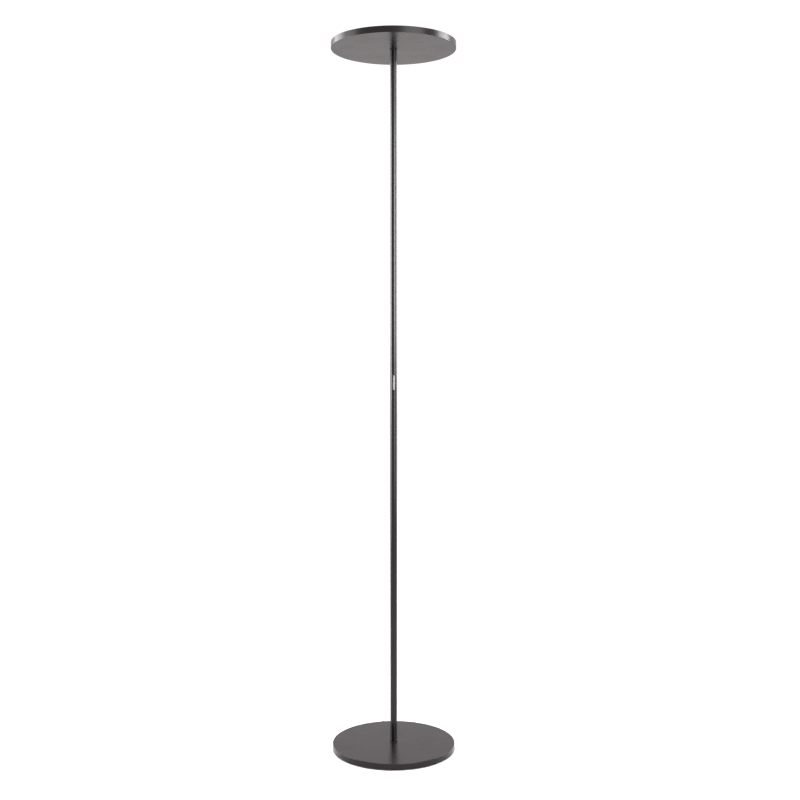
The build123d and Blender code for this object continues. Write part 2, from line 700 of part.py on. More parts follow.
with BuildPart() as dimmer_connectors:
    with BuildSketch(KEY_PLANE.offset(BOARD_FRONT)):
        with Locations((0, CONNECTOR_OFFSET), (0, -CONNECTOR_OFFSET)):
            Rectangle(CONNECTOR_W, CONNECTOR_L)
    extrude(amount=CONNECTOR_FRONT - BOARD_FRONT)
    chamfer(dimmer_connectors.edges().filter_by(Axis.Z).group_by(Axis.Y)[0], length=CONNECTOR_CORNER)
dimmer_connectors.part.label = "dimmer_connectors"
export_step(dimmer_connectors.part, "parts/dimmer_connectors.step")

dimmer_board_screws = pan_screws(
    KEY_PLANE.offset(BOARD_FRONT), board_screw_spots, M2_HEAD_R, M2_HEAD_H, M2_R, M2_L
)
dimmer_board_screws.part.label = "dimmer_board_screws"
export_step(dimmer_board_screws.part, "parts/dimmer_board_screws.step")

# The carrier fills the back half of the tube behind the board.
with BuildPart() as board_carrier:
    with BuildSketch(Plane.XY.offset(KEY_Z - CARRIER_L / 2)):
        Circle(POLE_BORE_R)
        with Locations((0, -POLE_BORE_R + BOARD_T - BOARD_FRONT)):
            Rectangle(POLE_D, 2 * POLE_BORE_R, mode=Mode.SUBTRACT)
    extrude(amount=CARRIER_L)
    with BuildSketch(KEY_PLANE.offset(BOARD_FRONT - BOARD_T)):
        with Locations(*board_screw_spots):
            Circle(M2_R)
    extrude(amount=-(M2_L - BOARD_T), mode=Mode.SUBTRACT)
    with BuildSketch(KEY_PLANE.offset(BOARD_FRONT - BOARD_T)):
        Rectangle(CARRIER_RELIEF_W, CARRIER_RELIEF_L)
    extrude(amount=-CARRIER_RELIEF_DEPTH, mode=Mode.SUBTRACT)
board_carrier.part.label = "board_carrier"
export_step(board_carrier.part, "parts/board_carrier.step")

# ================================ leads inside the lamp ================================

connector_end = CONNECTOR_OFFSET + CONNECTOR_L / 2
pole_cable = lead(
    [
        (CABLE_X, DRIVER_Y - DRIVER_L / 2, CABLE_Z),
        (CABLE_X, CABLE_TURN_Y, CABLE_Z),
        (0, CABLE_TURN_Y, CABLE_Z),
        (0, CABLE_OFF_AXIS, CABLE_Z),
        (0, CABLE_OFF_AXIS, KEY_Z - connector_end - CABLE_SWAY_FAR),
        (0, -CABLE_FRONT, KEY_Z - connector_end - CABLE_SWAY_NEAR),
        (0, -CABLE_FRONT, KEY_Z - connector_end),
    ],
    [CABLE_CORNER_R, CABLE_SWEEP_R, CABLE_UPTURN_R, CABLE_SWAY_R, CABLE_SWAY_R],
    CABLE_R,
)
pole_cable.part.label = "pole_cable"
export_step(pole_cable.part, "parts/pole_cable.step")

plug_mouth_y = PLUG_Y + PLUG_L / 2
plug_mouth_z = LED_BOARD_FACE + PLUG_H / 2
head_cable = lead(
    [
        (0, -CABLE_FRONT, KEY_Z + connector_end),
        (0, -CABLE_FRONT, KEY_Z + connector_end + CABLE_SWAY_NEAR),
        (0, CABLE_OFF_AXIS, KEY_Z + connector_end + CABLE_SWAY_FAR),
        (0, CABLE_OFF_AXIS, HEAD_CABLE_Z),
        (0, HEAD_CABLE_DROP_Y, HEAD_CABLE_Z),
        (0, plug_mouth_y + HEAD_CABLE_LEVEL, plug_mouth_z),
        (0, plug_mouth_y, plug_mouth_z),
    ],
    [CABLE_SWAY_R, CABLE_SWAY_R, HEAD_CABLE_TURN_R, CABLE_SWEEP_R, CABLE_SWEEP_R],
    CABLE_R,
)
head_cable.part.label = "head_cable"
export_step(head_cable.part, "parts/head_cable.step")

# ================================ head ================================

head_gasket = flat_ring(POLE_TOP, HEAD_GASKET_T, HEAD_GASKET_R, STUD_HOLE_R)
head_gasket.part.label = "head_gasket"
export_step(head_gasket.part, "parts/head_gasket.step")

with BuildPart() as head_pan:
    with BuildSketch(Plane.XY.offset(HEAD_BOTTOM)):
        Circle(DISC_R)
    extrude(amount=HEAD_H)
    fillet(head_pan.edges().group_by(Axis.Z)[0], radius=PAN_EDGE_R)
    with BuildSketch(Plane.XY.offset(PAN_FLOOR)):
        Circle(PAN_BORE_R)
    extrude(amount=HEAD_H, mode=Mode.SUBTRACT)
    with BuildSketch(Plane.XY.offset(HEAD_BOTTOM)):
        Circle(STUD_HOLE_R)
    extrude(amount=PAN_T, mode=Mode.SUBTRACT)
    fillet(head_pan.edges().group_by(Axis.Z)[-1], radius=PAN_LIP_R)
head_pan.part.label = "head_pan"
export_step(head_pan.part, "parts/head_pan.step")

head_stud = hollow_turning(HEAD_STUD_BOTTOM, HEAD_STUD_TOP, STUD_R, STUD_BORE_R)
head_stud.part.label = "head_stud"
export_step(head_stud.part, "parts/head_stud.step")

hub_plate = flat_ring(PAN_FLOOR, HUB_T, HUB_R, STUD_HOLE_R)
hub_plate.part.label = "hub_plate"
export_step(hub_plate.part, "parts/hub_plate.step")

head_washer = star_washer(HUB_TOP)
head_washer.part.label = "head_washer"
export_step(head_washer.part, "parts/head_washer.step")

head_nut = thin_nut(HUB_TOP + WASHER_T)
head_nut.part.label = "head_nut"
export_step(head_nut.part, "parts/head_nut.step")

head_screw_spots = [spot for radius, start in BOARD_SCREW_RINGS for spot in ring_spots(radius, 3, start)]

with BuildPart() as heat_spreader:
    with BuildSketch(Plane.XY.offset(PAN_FLOOR)):
        Circle(SPREADER_R)
        Circle(SPREADER_HOLE_R, mode=Mode.SUBTRACT)
        with Locations(*head_screw_spots):
            Circle(M3_R, mode=Mode.SUBTRACT)
    extrude(amount=SPREADER_T)
heat_spreader.part.label = "heat_spreader"
export_step(heat_spreader.part, "parts/heat_spreader.step")

with BuildPart() as led_board:
    with BuildSketch(Plane.XY.offset(LED_BOARD_UNDER)):
        Circle(LED_BOARD_R)
        Circle(LED_BOARD_HOLE_R, mode=Mode.SUBTRACT)
        with Locations(*head_screw_spots):
            Circle(M3_R, mode=Mode.SUBTRACT)
    extrude(amount=LED_BOARD_T)
led_board.part.label = "led_board"
export_step(led_board.part, "parts/led_board.step")

with BuildPart() as led_chips:
    with BuildSketch(Plane.XY.offset(LED_BOARD_FACE)):
        for ring_r, chips_in_ring in LED_RINGS:
            with PolarLocations(ring_r, chips_in_ring):
                Rectangle(LED_SIZE, LED_SIZE)
    extrude(amount=LED_H)
led_chips.part.label = "led_chips"
export_step(led_chips.part, "parts/led_chips.step")

led_board_screws = pan_screws(
    Plane.XY.offset(LED_BOARD_FACE), head_screw_spots, M3_HEAD_R, M3_HEAD_H, M3_R, LED_BOARD_T + SPREADER_T
)
led_board_screws.part.label = "led_board_screws"
export_step(led_board_screws.part, "parts/led_board_screws.step")

with BuildPart() as head_connector:
    with BuildSketch(Plane.XY.offset(LED_BOARD_FACE)):
        with Locations((0, PLUG_Y)):
            Rectangle(PLUG_W, PLUG_L)
    extrude(amount=PLUG_H)
    chamfer(head_connector.edges().filter_by(Axis.Y).group_by(Axis.Z)[-1], length=CONNECTOR_CORNER)
head_connector.part.label = "head_connector"
export_step(head_connector.part, "parts/head_connector.step")

# A white cone from the edge of the board up to the lip that carries the diffuser.
with BuildPart() as reflector_ring:
    with BuildSketch(Plane.XZ):
        with BuildLine():
            Polyline(
                (REFLECTOR_FOOT_R, LED_BOARD_UNDER),
                (REFLECTOR_BEND_R + REFLECTOR_T, LED_BOARD_UNDER),
                (REFLECTOR_LIP_R + REFLECTOR_T, DIFFUSER_UNDER - REFLECTOR_T),
                (DIFFUSER_R, DIFFUSER_UNDER - REFLECTOR_T),
                (DIFFUSER_R, DIFFUSER_UNDER),
                (REFLECTOR_LIP_R, DIFFUSER_UNDER),
                (REFLECTOR_BEND_R, LED_BOARD_UNDER + REFLECTOR_T),
                (REFLECTOR_FOOT_R, LED_BOARD_UNDER + REFLECTOR_T),
                close=True,
            )
        make_face()
    revolve(axis=Axis.Z)
reflector_ring.part.label = "reflector_ring"
export_step(reflector_ring.part, "parts/reflector_ring.step")

with BuildPart() as diffuser:
    with BuildSketch(Plane.XY.offset(DIFFUSER_UNDER)):
        Circle(DIFFUSER_R)
    extrude(amount=DIFFUSER_T)
diffuser.part.label = "diffuser"
export_step(diffuser.part, "parts/diffuser.step")

diffuser_ring = flat_ring(DIFFUSER_TOP, RING_T, PAN_BORE_R - RING_GAP, PAN_BORE_R - RING_W)
diffuser_ring.part.label = "diffuser_ring"
export_step(diffuser_ring.part, "parts/diffuser_ring.step")
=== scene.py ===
import json
from math import cos, pi, radians, sin, sqrt, tan

import bmesh
import bpy
from mathutils import Matrix, Vector


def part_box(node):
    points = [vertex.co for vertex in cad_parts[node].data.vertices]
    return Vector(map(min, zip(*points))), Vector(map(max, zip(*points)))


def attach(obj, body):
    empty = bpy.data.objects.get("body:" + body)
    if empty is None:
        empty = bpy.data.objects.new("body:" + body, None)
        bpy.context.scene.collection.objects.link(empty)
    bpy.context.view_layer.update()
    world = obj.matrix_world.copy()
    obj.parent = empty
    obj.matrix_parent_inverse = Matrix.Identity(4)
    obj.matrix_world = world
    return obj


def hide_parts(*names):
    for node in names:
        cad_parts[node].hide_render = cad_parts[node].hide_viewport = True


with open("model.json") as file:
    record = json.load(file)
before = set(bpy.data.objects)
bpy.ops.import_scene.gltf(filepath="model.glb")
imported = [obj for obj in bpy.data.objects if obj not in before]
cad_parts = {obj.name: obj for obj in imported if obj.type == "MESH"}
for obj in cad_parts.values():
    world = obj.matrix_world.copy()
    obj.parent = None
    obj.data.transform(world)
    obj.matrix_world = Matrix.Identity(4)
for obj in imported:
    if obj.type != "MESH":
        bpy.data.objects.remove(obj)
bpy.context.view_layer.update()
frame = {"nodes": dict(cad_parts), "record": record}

MM = 0.001
BODY = "lamp"
KEY_BODY = "dimmer_key"

# ---- sizes and places, from the frame ----
DISC_R = round(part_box("base_cover")[1].x, 4)
POLE_R = round(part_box("lower_pole")[1].x, 4)
BORE_R = round(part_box("foot_bush")[1].x, 4)
KEY_Z = (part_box("dimmer_key")[0].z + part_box("dimmer_key")[1].z) / 2
GLAND = next(mount for mount in frame["record"]["mounts"] if mount["name"] == "cord_inlet")
GLAND_OUT = Vector(GLAND["axis"]).normalized()
GLAND_AT = Vector((GLAND_OUT.x * DISC_R, GLAND_OUT.y * DISC_R, GLAND["pos_m"][2]))
GLAND_PLACE = Matrix.Translation(GLAND_AT) @ GLAND_OUT.to_track_quat("Z", "Y").to_matrix().to_4x4()

# ---- walls and small features, which the boxes don't give ----
STUD_HOLE_R = 5.2 * MM
COVER_T = 1.5 * MM
PAN_T = 1.2 * MM
GLAND_HOLE_R = 4.55 * MM
GLAND_HOLE_HALF_L = 8 * MM
DIFFUSER_GAP = 0.3 * MM
RING_GAP = 0.1 * MM
RING_INSET = 5.5 * MM
CRIMP_RISES = (22 * MM, 39 * MM)
CRIMP_DEPTH = 0.45 * MM
CRIMP_W = 1.4 * MM
CRIMP_STEPS = 12
WINDOW_REACH = 23 * MM
FLAT_DEPTH = 7.0 * MM

# ---- how finely the meshes are made ----
DISC_SEGMENTS = 384
POLE_SEGMENTS = 128
GLAND_SEGMENTS = 96
KEY_SEGMENTS = 96
FOOT_SEGMENTS = 64
WINDOW_SEGMENTS = 64
HOLE_SEGMENTS = 48
PIP_SEGMENTS = 32
SHARP_DEG = 32
HOLD = 0.3 * MM
LONG_RUN = 1.5 * MM


# ================================ mesh helpers ================================

def rounded(corners, steps=5):
    """A closed outline from corners, each its coordinates and then a fillet radius. A fillet is an arc."""
    outline = []
    for i, corner in enumerate(corners):
        here, fillet = Vector(corner[:-1]), corner[-1]
        if fillet <= 0:
            outline.append(here)
            continue
        before = (Vector(corners[i - 1][:-1]) - here).normalized()
        after = (Vector(corners[(i + 1) % len(corners)][:-1]) - here).normalized()
        half = before.angle(after) / 2
        centre = here + (before + after).normalized() * (fillet / sin(half))
        first = here + before * (fillet / tan(half)) - centre
        last = here + after * (fillet / tan(half)) - centre
        turn = first.angle(last)
        for step in range(steps + 1):
            share = step / steps
            outline.append(centre + (first * sin((1 - share) * turn) + last * sin(share * turn)) / sin(turn))
    return outline


def held(outline, closed=True):
    """The outline with a point just inside both ends of every long straight, which keeps the straight's
    smooth shading flat beside a rounded edge."""
    points = []
    for here, after in zip(outline, outline[1:] + outline[:1]):
        points.append(here)
        run = after - here
        if run.length > LONG_RUN and (closed or after is not outline[0]):
            points += [here + run.normalized() * HOLD, after - run.normalized() * HOLD]
    return points


def circle_ring(segments, place=Matrix.Identity(4)):
    """Turns an outline point (r, z) into a circle of points about the local Z axis of place."""
    def ring(point):
        r, z = point
        turns = [2 * pi * k / segments for k in range(segments)]
        return [place @ Vector((r * cos(t), r * sin(t), z)) for t in turns]
    return ring


def obround_ring(segments):
    """Turns an outline point (half width, half length, depth from the pole's axis) into an obround of points
    centred on the key: wrapped on the front of the pole, or flat where it lies deeper than FLAT_DEPTH."""
    def ring(point):
        half_w, half_l, depth = point
        points = []
        for k in range(segments):
            t = 2 * pi * (k + 0.5) / segments
            x = half_w * cos(t)
            z = half_w * sin(t) + (half_l - half_w) * (1 if sin(t) > 0 else -1)
            y = -depth if depth < FLAT_DEPTH else -sqrt(depth * depth - x * x)
            points.append(Vector((x, y, KEY_Z + z)))
        return points
    return ring


def add_swept(bm, outline, ring, closed=True):
    """Adds the skin through the rings of an outline's points to a bmesh."""
    rings = [[bm.verts.new(p) for p in ring(point)] for point in held(outline, closed)]
    pairs = list(zip(rings, rings[1:] + rings[:1])) if closed else list(zip(rings, rings[1:]))
    for near, far in pairs:
        for k in range(len(near)):
            nxt = (k + 1) % len(near)
            bm.faces.new((near[k], near[nxt], far[nxt], far[k]))


def soften(bm):
    """Smooth faces, with hard edges where the skin turns sharply or is open."""
    for face in bm.faces:
        face.smooth = True
    for edge in bm.edges:
        edge.smooth = len(edge.link_faces) == 2 and edge.calc_face_angle() < radians(SHARP_DEG)


def finish_mesh(name, bm):
    """Makes an object of a bmesh, with no doubled points, outward normals and softened faces."""
    bmesh.ops.remove_doubles(bm, verts=bm.verts, dist=2e-6)
    bmesh.ops.dissolve_degenerate(bm, edges=bm.edges, dist=1e-7)
    bmesh.ops.recalc_face_normals(bm, faces=bm.faces)
    soften(bm)
    mesh = bpy.data.meshes.new(name)
    bm.to_mesh(mesh)
    bm.free()
    piece = bpy.data.objects.new(name, mesh)
    bpy.context.scene.collection.objects.link(piece)
    return piece


def lathe(name, outline, segments=DISC_SEGMENTS, place=Matrix.Identity(4)):
    """A closed outline turned about the local Z axis of place."""
    bm = bmesh.new()
    add_swept(bm, outline, circle_ring(segments, place))
    return finish_mesh(name, bm)


def cut(piece, cutter):
    """Cuts a closed cutter out of a piece, and removes the cutter."""
    modifier = piece.modifiers.new("cut", "BOOLEAN")
    modifier.object = cutter
    modifier.solver = "EXACT"
    bpy.context.view_layer.update()
    depsgraph = bpy.context.evaluated_depsgraph_get()
    result = bpy.data.meshes.new_from_object(piece.evaluated_get(depsgraph))
    piece.modifiers.clear()
    bm = bmesh.new()
    bm.from_mesh(result)
    soften(bm)
    bm.to_mesh(piece.data)
    bm.free()
    bpy.data.meshes.remove(result)
    bpy.data.objects.remove(cutter)


def islands(node):
    """(lowest corner, highest corner) of each separate solid in a CAD node."""
    bm = bmesh.new()
    bm.from_mesh(frame["nodes"][node].data)
    bmesh.ops.remove_doubles(bm, verts=bm.verts, dist=1e-6)
    waiting, found = set(bm.verts), []
    while waiting:
        group, front = [], [waiting.pop()]
        while front:
            vert = front.pop()
            group.append(vert.co.copy())
            for link in vert.link_edges:
                other = link.other_vert(vert)
                if other in waiting:
                    waiting.remove(other)
                    front.append(other)
        low = Vector([min(co[i] for co in group) for i in range(3)])
        high = Vector([max(co[i] for co in group) for i in range(3)])
        found.append((low, high))
    bm.free()
    return sorted(found, key=lambda pair: tuple(pair[0]))


def stand_for(piece, node, material, body=BODY):
    """The piece takes a CAD node's place: its body and a finished material."""
    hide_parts(node)
    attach(piece, body)
    piece.data.materials.clear()
    piece.data.materials.append(material)


# ================================ materials ================================

class Nodes:
    """A short way to write a node material around one Principled shader, textured in object space."""

    def __init__(self, name):
        self.material = bpy.data.materials.new(name)
        self.material.use_nodes = True
        self.tree = self.material.node_tree
        self.shader = next(n for n in self.tree.nodes if n.type == "BSDF_PRINCIPLED")
        self.coords = self.tree.nodes.new("ShaderNodeTexCoord").outputs["Object"]

    def link(self, source, target):
        self.tree.links.new(source, target)

    def stretched(self, scale):
        node = self.tree.nodes.new("ShaderNodeMapping")
        node.inputs["Scale"].default_value = scale
        self.link(self.coords, node.inputs["Vector"])
        return node.outputs["Vector"]

    def noise(self, scale, detail=3, roughness=0.5, vector=None):
        node = self.tree.nodes.new("ShaderNodeTexNoise")
        node.inputs["Scale"].default_value = scale
        node.inputs["Detail"].default_value = detail
        node.inputs["Roughness"].default_value = roughness
        self.link(vector or self.coords, node.inputs["Vector"])
        return node.outputs["Fac"]

    def cells(self, scale, output="Distance", vector=None):
        node = self.tree.nodes.new("ShaderNodeTexVoronoi")
        node.inputs["Scale"].default_value = scale
        self.link(vector or self.coords, node.inputs["Vector"])
        return node.outputs[output]

    def spread(self, value, low, high, from_low=0.3, from_high=0.7):
        node = self.tree.nodes.new("ShaderNodeMapRange")
        node.inputs["From Min"].default_value = from_low
        node.inputs["From Max"].default_value = from_high
        node.inputs["To Min"].default_value = low
        node.inputs["To Max"].default_value = high
        self.link(value, node.inputs["Value"])
        return node.outputs["Result"]

    def ramp(self, value, stops):
        node = self.tree.nodes.new("ShaderNodeValToRGB")
        ramp = node.color_ramp
        ramp.elements[0].position, ramp.elements[0].color = stops[0][0], (*stops[0][1], 1)
        ramp.elements[1].position, ramp.elements[1].color = stops[-1][0], (*stops[-1][1], 1)
        for position, colour in stops[1:-1]:
            ramp.elements.new(position).color = (*colour, 1)
        self.link(value, node.inputs["Fac"])
        return node.outputs["Color"]

    def add(self, a, b, share):
        """a plus share times b."""
        node = self.tree.nodes.new("ShaderNodeMath")
        node.operation = "MULTIPLY_ADD"
        self.link(b, node.inputs[0])
        node.inputs[1].default_value = share
        self.link(a, node.inputs[2])
        return node.outputs["Value"]

    def bump(self, height, strength, distance_mm):
        node = self.tree.nodes.new("ShaderNodeBump")
        node.inputs["Strength"].default_value = strength
        node.inputs["Distance"].default_value = distance_mm * MM
        self.link(height, node.inputs["Height"])
        self.link(node.outputs["Normal"], self.shader.inputs["Normal"])

    def colour(self, value):
        self.link(value, self.shader.inputs["Base Color"])

    def roughness(self, value):
        self.link(value, self.shader.inputs["Roughness"])

    def set(self, **sockets):
        for socket, value in sockets.items():
            self.shader.inputs[socket.replace("_", " ")].default_value = value


def shade(colour, factor):
    return tuple(channel * factor for channel in colour)


def satin_lacquer(name, colour, rough, ior, peel=0.02):
    """Dark warm sprayed lacquer: faint orange peel, fine flake in the colour and slow changes of gloss."""
    n = Nodes(name)
    grain = n.noise(1400, 2)
    tone = n.add(n.add(n.noise(5, 4), grain, 0.35), n.cells(2600, "Color"), 0.12)
    n.colour(n.ramp(tone, [(0.42, shade(colour, 0.85)), (0.7, colour), (0.98, shade(colour, 1.2))]))
    n.roughness(n.spread(n.add(n.noise(18, 5), n.noise(420, 2), 0.3), rough - 0.03, rough + 0.03, 0.45, 0.85))
    n.bump(n.add(n.noise(340, 3), grain, 0.4), peel, 0.03)
    n.set(Metallic=0.0, IOR=ior)
    return n.material


def bare_metal(name, colour, rough, stretch=(40, 2600, 2600)):
    """Zinc-plated or rolled metal, with fine drawn lines and a cloudy plate."""
    n = Nodes(name)
    lines = n.noise(1, 4, 0.6, n.stretched(stretch))
    cloud = n.noise(60, 5, 0.6)
    n.colour(n.ramp(n.add(cloud, lines, 0.5), [
        (0.45, shade(colour, 0.78)), (0.75, colour), (1.0, shade(colour, 1.12)),
    ]))
    n.roughness(n.spread(lines, rough - 0.08, rough + 0.12))
    n.bump(lines, 0.12, 0.03)
    n.set(Metallic=1.0)
    return n.material


def grained(name, colour, rough, grain_scale=900, bump_mm=0.04, strength=0.2, metallic=0.0, ior=1.46):
    """Moulded plastic, rubber or cast skin: a fine grain and small changes of tone."""
    n = Nodes(name)
    grain = n.noise(grain_scale, 4, 0.6)
    cloud = n.noise(45, 4)
    n.colour(n.ramp(n.add(cloud, grain, 0.4), [
        (0.45, shade(colour, 0.82)), (0.72, colour), (0.95, shade(colour, 1.1)),
    ]))
    n.roughness(n.spread(grain, rough - 0.06, rough + 0.08))
    n.bump(grain, strength, bump_mm)
    n.set(Metallic=metallic, IOR=ior)
    return n.material


def circuit(name):
    """Green solder mask over copper: cells of tracks a little lighter than the board."""
    n = Nodes(name)
    tracks = n.cells(420, "Distance", n.stretched((1, 1, 0.4)))
    n.colour(n.ramp(tracks, [
        (0.1, (0.012, 0.16, 0.07)), (0.45, (0.02, 0.21, 0.09)), (0.6, (0.01, 0.09, 0.045)),
    ]))
    n.roughness(n.spread(n.noise(300), 0.26, 0.42))
    n.bump(tracks, 0.2, 0.05)
    return n.material


def opal(name):
    """Satin opal acrylic: milky, with a fine matt grain and light that spreads under its skin."""
    n = Nodes(name)
    grain = n.noise(1800, 3, 0.6)
    n.colour(n.ramp(n.add(n.noise(12, 3), grain, 0.3), [
        (0.4, (0.80, 0.80, 0.77)), (0.7, (0.86, 0.86, 0.84)), (0.95, (0.89, 0.89, 0.87)),
    ]))
    n.roughness(n.spread(grain, 0.34, 0.46))
    n.bump(grain, 0.08, 0.03)
    n.set(Subsurface_Weight=0.25, Subsurface_Scale=0.004, IOR=1.49)
    return n.material


LACQUER = (0.0050, 0.0034, 0.0040)
MATERIALS = {
    "lamp_body_paint": satin_lacquer("lamp_body_paint", LACQUER, 0.27, 1.31),
    "pole_paint": satin_lacquer("pole_paint", LACQUER, 0.18, 1.35, 0.003),
    "zinc_steel": bare_metal("zinc_steel", (0.56, 0.56, 0.54), 0.36),
    "cast_weight": grained("cast_weight", (0.07, 0.07, 0.072), 0.62, 500, 0.3, 0.5, 0.6),
    "foot_rubber": grained("foot_rubber", (0.009, 0.009, 0.010), 0.7, 1200, 0.05, 0.25, ior=1.3),
    "black_plastic": grained("black_plastic", (0.014, 0.014, 0.015), 0.42, 1500, 0.03, 0.15),
    "key_plastic": grained("key_plastic", (0.270, 0.261, 0.275), 0.34, 1600, 0.02, 0.08),
    "white_plastic": grained("white_plastic", (0.78, 0.78, 0.76), 0.45, 1100, 0.03, 0.12),
    "opal": opal("opal"),
    "circuit_board": circuit("circuit_board"),
    "spreader_metal": bare_metal("spreader_metal", (0.72, 0.73, 0.74), 0.32, (3000, 50, 3000)),
    "white_board": grained("white_board", (0.82, 0.82, 0.79), 0.35, 700, 0.02, 0.1),
    "phosphor": grained("phosphor", (0.85, 0.66, 0.16), 0.4, 2500, 0.02, 0.2),
    "lead_sheath": grained("lead_sheath", (0.66, 0.66, 0.65), 0.5, 1300, 0.03, 0.15),
}


def finish_cad_nodes():
    """Every CAD node gets the finished material of its slot."""
    for part in frame["record"]["subparts"]:
        node = frame["nodes"][part["node"]]
        node.data.materials.clear()
        node.data.materials.append(MATERIALS[part["material_slot"]])


# ================================ base ================================

def base_shell():
    """The pressed cover: a crisp rounded rim, a skirt, and a round hole for the gland."""
    low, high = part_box("base_cover")
    shell = lathe("base_shell", rounded([
        (STUD_HOLE_R, high.z, 0.3 * MM),
        (DISC_R, high.z, 1.0 * MM),
        (DISC_R, low.z, 0.35 * MM),
        (DISC_R - COVER_T, low.z, 0.35 * MM),
        (DISC_R - COVER_T, high.z - COVER_T, 0.6 * MM),
        (STUD_HOLE_R, high.z - COVER_T, 0.3 * MM),
    ]))
    hole = lathe("gland_hole", [
        Vector((0, -GLAND_HOLE_HALF_L)),
        Vector((GLAND_HOLE_R, -GLAND_HOLE_HALF_L)),
        Vector((GLAND_HOLE_R, GLAND_HOLE_HALF_L)),
        Vector((0, GLAND_HOLE_HALF_L)),
    ], HOLE_SEGMENTS, GLAND_PLACE)
    cut(shell, hole)
    stand_for(shell, "base_cover", MATERIALS["lamp_body_paint"])


def foot_pads():
    """Rubber pads with a rounded tread edge and a sunk ring, one on each CAD foot."""
    groove_outer, groove_inner = (0.62, 0.58), (0.36, 0.40)
    groove_depth = 0.5 * MM
    bm = bmesh.new()
    for low, high in islands("rubber_feet"):
        centre = (low + high) / 2
        r, top, floor = (high.x - low.x) / 2, high.z, low.z
        outline = rounded([
            (0, top, 0), (r, top, 0.15 * MM), (r, floor, 0.6 * MM),
            (r * groove_outer[0], floor, 0.1 * MM), (r * groove_outer[1], floor + groove_depth, 0.1 * MM),
            (r * groove_inner[1], floor + groove_depth, 0.1 * MM), (r * groove_inner[0], floor, 0.1 * MM),
            (0, floor, 0),
        ], 4)
        ring = circle_ring(FOOT_SEGMENTS, Matrix.Translation((centre.x, centre.y, 0)))
        add_swept(bm, outline, ring, closed=False)
    stand_for(finish_mesh("foot_pads", bm), "rubber_feet", MATERIALS["foot_rubber"])


def gland_bush():
    """The cord gland: a flange on the skirt, a ribbed taper and an open bore. Corners are (radius, reach,
    round), in millimetres."""
    bore_r, neck_r, flange_r, sleeve_r, tip_r = 3.25, 4.5, 6.2, 5.6, 4.9
    inner_end, seat, flange_t, reach = -7, 0.15, 1.5, 10.5
    groove_depth, groove_top, groove_bottom = 0.4, 0.5, 1.1
    corners = [(bore_r, inner_end, 0.2), (bore_r, reach, 0.4), (tip_r, reach, 0.6)]
    for rise in (8.6, 6.7, 4.8):
        r = sleeve_r - (sleeve_r - tip_r) * (rise - flange_t) / (reach - flange_t)
        corners.append((r, rise, 0.15))
        corners.append((r - groove_depth, rise - groove_top, 0.1))
        corners.append((r - groove_depth, rise - groove_bottom, 0.1))
    corners += [
        (sleeve_r, flange_t, 0.2), (flange_r, flange_t - 0.1, 0.4), (flange_r, seat, 0.1),
        (neck_r, seat, 0.1), (neck_r, inner_end, 0.3),
    ]
    outline = [point * MM for point in rounded(corners, 3)]
    bush = lathe("gland_bush", outline, GLAND_SEGMENTS, GLAND_PLACE)
    stand_for(bush, "cord_gland", MATERIALS["foot_rubber"])


def gasket(name, node):
    """A thin rubber ring, its outer edge bulging a little."""
    low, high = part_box(node)
    ring = lathe(name, rounded([
        (STUD_HOLE_R, high.z, 0), (high.x, high.z, 0.35 * MM),
        (high.x, low.z, 0.35 * MM), (STUD_HOLE_R, low.z, 0),
    ]), POLE_SEGMENTS)
    stand_for(ring, node, MATERIALS["foot_rubber"])


# ================================ pole ================================

def pole_outline(bottom, top, crimps=(), rings=()):
    """A tube's outline: broken ends, round rolled crimps, and extra rings that keep a cut local."""
    corners = [(BORE_R, bottom, 0.1 * MM), (POLE_R, bottom, 0.25 * MM)]
    outline = rounded(corners + [(POLE_R, top, 0.25 * MM), (BORE_R, top, 0.1 * MM)], 4)
    half = len(outline) // 2
    lower_half, upper_half = outline[:half], outline[half:]
    middle = []
    for height in sorted(list(crimps) + list(rings)):
        if height in crimps:
            for step in range(CRIMP_STEPS + 1):
                share = step / CRIMP_STEPS
                dip = CRIMP_DEPTH * (1 - cos(2 * pi * share)) / 2
                middle.append(Vector((POLE_R - dip, height + (share - 0.5) * CRIMP_W)))
        else:
            middle.append(Vector((POLE_R, height)))
    inner = [Vector((BORE_R, height)) for height in sorted(rings, reverse=True)]
    return lower_half + middle + upper_half + inner


def tubes():
    """The two screwed tubes. The upper one has two crimps above the seam and the window for the key, whose
    corners are (half width, half length, depth), in millimetres."""
    low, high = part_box("lower_pole")
    lower = lathe("lower_tube", pole_outline(low.z, high.z), POLE_SEGMENTS)
    stand_for(lower, "lower_pole", MATERIALS["pole_paint"])
    low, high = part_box("upper_pole")
    crimps = [low.z + rise for rise in CRIMP_RISES]
    rings = (KEY_Z - WINDOW_REACH, KEY_Z + WINDOW_REACH)
    upper = lathe("upper_tube", pole_outline(low.z, high.z, crimps, rings), POLE_SEGMENTS)
    half_w, half_l, inner, outer = 3.7, 21.9, 5.5, 9.6
    straight = half_l - half_w
    corners = [(0, straight, inner), (half_w, half_l, inner), (half_w, half_l, outer), (0, straight, outer)]
    window = bmesh.new()
    add_swept(window, [Vector(p) * MM for p in corners], obround_ring(WINDOW_SEGMENTS), closed=False)
    cut(upper, finish_mesh("window", window))
    stand_for(upper, "upper_pole", MATERIALS["pole_paint"])


# ================================ dimmer ================================

